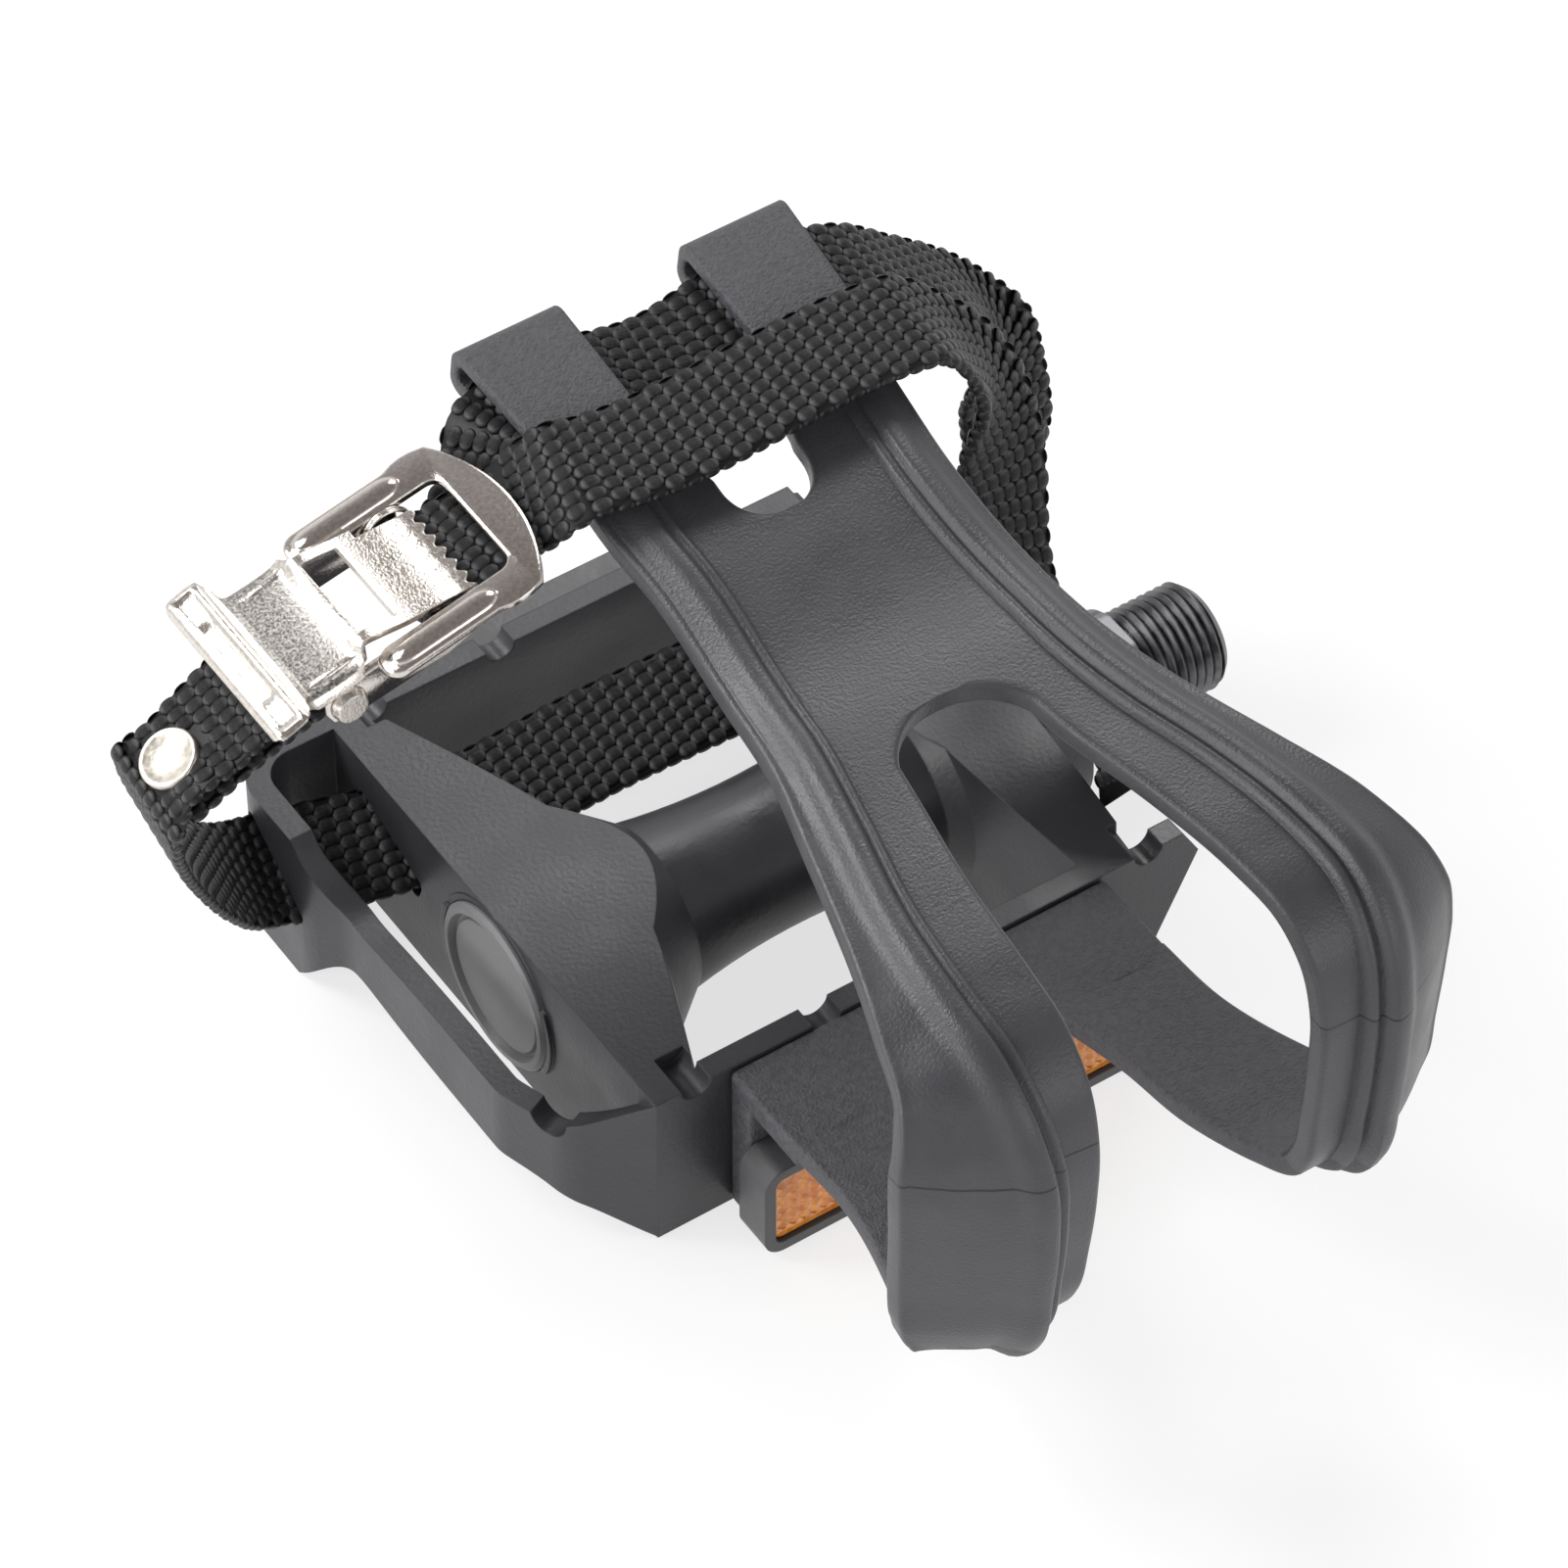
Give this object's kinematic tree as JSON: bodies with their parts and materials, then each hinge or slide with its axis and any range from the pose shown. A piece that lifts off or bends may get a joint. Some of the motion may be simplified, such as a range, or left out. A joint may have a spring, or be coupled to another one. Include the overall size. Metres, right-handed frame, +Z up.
{
  "type": "toe clip pedal",
  "caption": "Bicycle pedal with a moulded cage on a threaded spindle, a toe clip over the shoe, a woven strap with a sprung release buckle, and amber reflectors.",
  "frame": {"origin": "spindle axis at the face that meets the crank", "axes": "+X along the spindle to the crank, -Y to the toe, +Z up through the clip"},
  "size_m": [0.1414, 0.1335, 0.0871],
  "materials": {
    "cage_resin": "satin",
    "clip_nylon": "satin",
    "cap_plastic": "satin",
    "housing_plastic": "satin",
    "lens_amber": "gloss",
    "spindle_steel": "satin",
    "bearing_steel": "polished",
    "zinc_steel": "satin",
    "seal_rubber": "matte",
    "webbing": "woven",
    "nickel": "polished"
  },
  "bodies": {
    "cage": {"pedal_body": "cage_resin", "dust_cap": "cap_plastic", "inner_bearing_cup": "bearing_steel", "outer_bearing_cup": "bearing_steel", "inner_balls": "bearing_steel", "outer_balls": "bearing_steel", "inner_seal": "seal_rubber", "toe_clip": "clip_nylon", "clip_screws": "zinc_steel", "clip_nuts": "zinc_steel", "reflector_housing": "housing_plastic", "reflector_lens": "lens_amber", "rear_reflector_housing": "housing_plastic", "rear_reflector_lens": "lens_amber", "toe_strap": "webbing", "strap_rivet": "nickel", "rivet_washer": "nickel", "buckle_frame": "nickel", "lever_pin": "nickel", "roller_pin": "nickel", "lever_spring": "nickel"},
    "spindle": {"spindle": "spindle_steel", "outer_cone": "bearing_steel", "keyed_washer": "zinc_steel", "lock_nut": "zinc_steel"},
    "lever": {"buckle_lever": "nickel"}
  },
  "joints": [
    {"name": "spindle_spin", "type": "hinge", "parent": "cage", "child": "spindle", "pos_m": [0, 0, 0], "axis": [1, 0, 0], "continuous": true},
    {"name": "lever_press", "type": "hinge", "parent": "cage", "child": "lever", "pos_m": [-0.10848, 0.009, 0.06078], "axis": [0, -1, 0], "range_deg": [0, 12], "stiffness_Nm_per_rad": 0.05, "springref_deg": -11.46}
  ]
}
